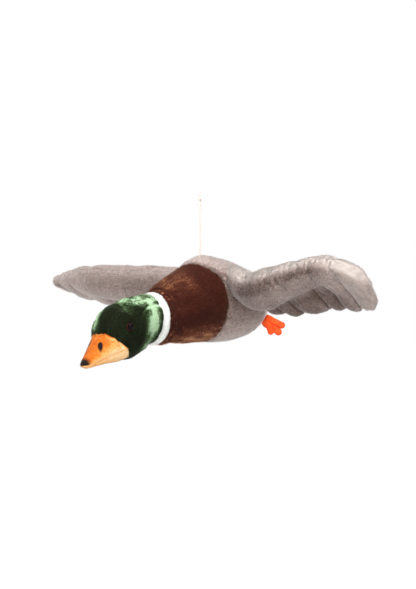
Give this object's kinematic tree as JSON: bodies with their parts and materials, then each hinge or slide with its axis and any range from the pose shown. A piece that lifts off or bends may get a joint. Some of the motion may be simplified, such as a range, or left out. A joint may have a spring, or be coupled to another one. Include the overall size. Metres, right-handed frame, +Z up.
{
  "type": "hanging plush duck",
  "caption": "Stuffed plush mallard drake in flight, hung on a cord from its back, with wired wings that flap and bend, a nodding neck, a turning head and felt feet.",
  "frame": {"origin": "top of the eye at the upper end of the hanging cord", "axes": "+Z up, -Y the way the bill points, +X towards the bird's left wing tip"},
  "size_m": [0.637, 0.372, 0.2396],
  "materials": {
    "chest_plush": "short pile plush, brown with tan tips",
    "body_plush": "short pile plush, taupe grey with pale tips",
    "cream_plush": "short pile plush, cream",
    "tail_plush": "short pile plush, pale taupe",
    "white_plush": "short pile plush, white",
    "green_plush": "glossy green plush with a pale sheen",
    "bill_plush": "short pile plush, orange, airbrushed black at the tip and nostrils",
    "wing_plush": "short pile plush, taupe with frosted brown tips",
    "foot_felt": "orange-red felt",
    "fibre_filling": "polyester fibre filling",
    "armature_wire": "annealed steel wire",
    "eye_black": "polished black",
    "eye_brown": "polished reddish brown",
    "washer_plastic": "moulded white",
    "cord_elastic": "round elastic cord, beige"
  },
  "bodies": {
    "torso": {"back_cover": "body_plush", "chest_cover_left": "chest_plush", "chest_cover_right": "chest_plush", "cord_knot": "cord_elastic", "cord_stop_knot": "cord_elastic", "cord_washer": "washer_plastic", "flank_cover_left": "body_plush", "flank_cover_right": "body_plush", "hang_cord": "cord_elastic", "shoulder_wire": "armature_wire", "spine_wire": "armature_wire", "tail_cover_lower": "tail_plush", "tail_cover_upper": "tail_plush", "tail_stuffing": "fibre_filling", "torso_stuffing": "fibre_filling", "vent_cover": "cream_plush"},
    "neck": {"neck_band": "white_plush", "neck_stuffing": "fibre_filling", "neck_wire": "armature_wire"},
    "head": {"bill_cover_lower": "bill_plush", "bill_cover_upper": "bill_plush", "bill_stuffing": "fibre_filling", "eye_left": "eye_black", "eye_right": "eye_black", "eye_rim_left": "eye_brown", "eye_rim_right": "eye_brown", "eye_washer_left": "washer_plastic", "eye_washer_right": "washer_plastic", "head_cover_left": "green_plush", "head_cover_right": "green_plush", "head_gusset": "green_plush", "head_stuffing": "fibre_filling"},
    "left_wing": {"left_inner_wing_lower_cover": "wing_plush", "left_inner_wing_stuffing": "fibre_filling", "left_inner_wing_upper_cover": "wing_plush", "left_inner_wing_wire": "armature_wire"},
    "left_wingtip": {"left_outer_wing_lower_cover": "wing_plush", "left_outer_wing_stuffing": "fibre_filling", "left_outer_wing_upper_cover": "wing_plush", "left_outer_wing_wire": "armature_wire"},
    "left_foot": {"left_foot_back_felt": "foot_felt", "left_foot_front_felt": "foot_felt", "left_foot_seam_roll": "foot_felt"},
    "right_wing": {"right_inner_wing_lower_cover": "wing_plush", "right_inner_wing_stuffing": "fibre_filling", "right_inner_wing_upper_cover": "wing_plush", "right_inner_wing_wire": "armature_wire"},
    "right_wingtip": {"right_outer_wing_lower_cover": "wing_plush", "right_outer_wing_stuffing": "fibre_filling", "right_outer_wing_upper_cover": "wing_plush", "right_outer_wing_wire": "armature_wire"},
    "right_foot": {"right_foot_back_felt": "foot_felt", "right_foot_front_felt": "foot_felt", "right_foot_seam_roll": "foot_felt"}
  },
  "joints": [
    {"name": "neck_nod", "type": "hinge", "parent": "torso", "child": "neck", "pos_m": [0, -0.082, -0.1765], "axis": [1, 0, 0], "range_deg": [-15, 18]},
    {"name": "head_turn", "type": "hinge", "parent": "neck", "child": "head", "pos_m": [0, -0.0962, -0.1765], "axis": [0, -1, 0], "range_deg": [-30, 30]},
    {"name": "left_wing_flap", "type": "hinge", "parent": "torso", "child": "left_wing", "pos_m": [0.057, 0.02, -0.125], "axis": [0, -0.8829, 0.4695], "range_deg": [-25, 40]},
    {"name": "left_wingtip_bend", "type": "hinge", "parent": "left_wing", "child": "left_wingtip", "pos_m": [0.225, 0.004, -0.111], "axis": [0, -0.7431, 0.6691], "range_deg": [-35, 25]},
    {"name": "left_foot_swing", "type": "hinge", "parent": "torso", "child": "left_foot", "pos_m": [0.02, 0.106, -0.1784], "axis": [0.4095, 0.4389, 0.7998], "range_deg": [-35, 30], "stiffness_Nm_per_rad": 0.003},
    {"name": "right_wing_flap", "type": "hinge", "parent": "torso", "child": "right_wing", "pos_m": [-0.057, 0.02, -0.125], "axis": [0, 0.8829, -0.4695], "range_deg": [-25, 40]},
    {"name": "right_wingtip_bend", "type": "hinge", "parent": "right_wing", "child": "right_wingtip", "pos_m": [-0.225, 0.004, -0.1225], "axis": [0, 0.866, -0.5], "range_deg": [-35, 25]},
    {"name": "right_foot_swing", "type": "hinge", "parent": "torso", "child": "right_foot", "pos_m": [-0.02, 0.106, -0.1784], "axis": [0.4095, -0.4389, -0.7998], "range_deg": [-35, 30], "stiffness_Nm_per_rad": 0.003}
  ]
}
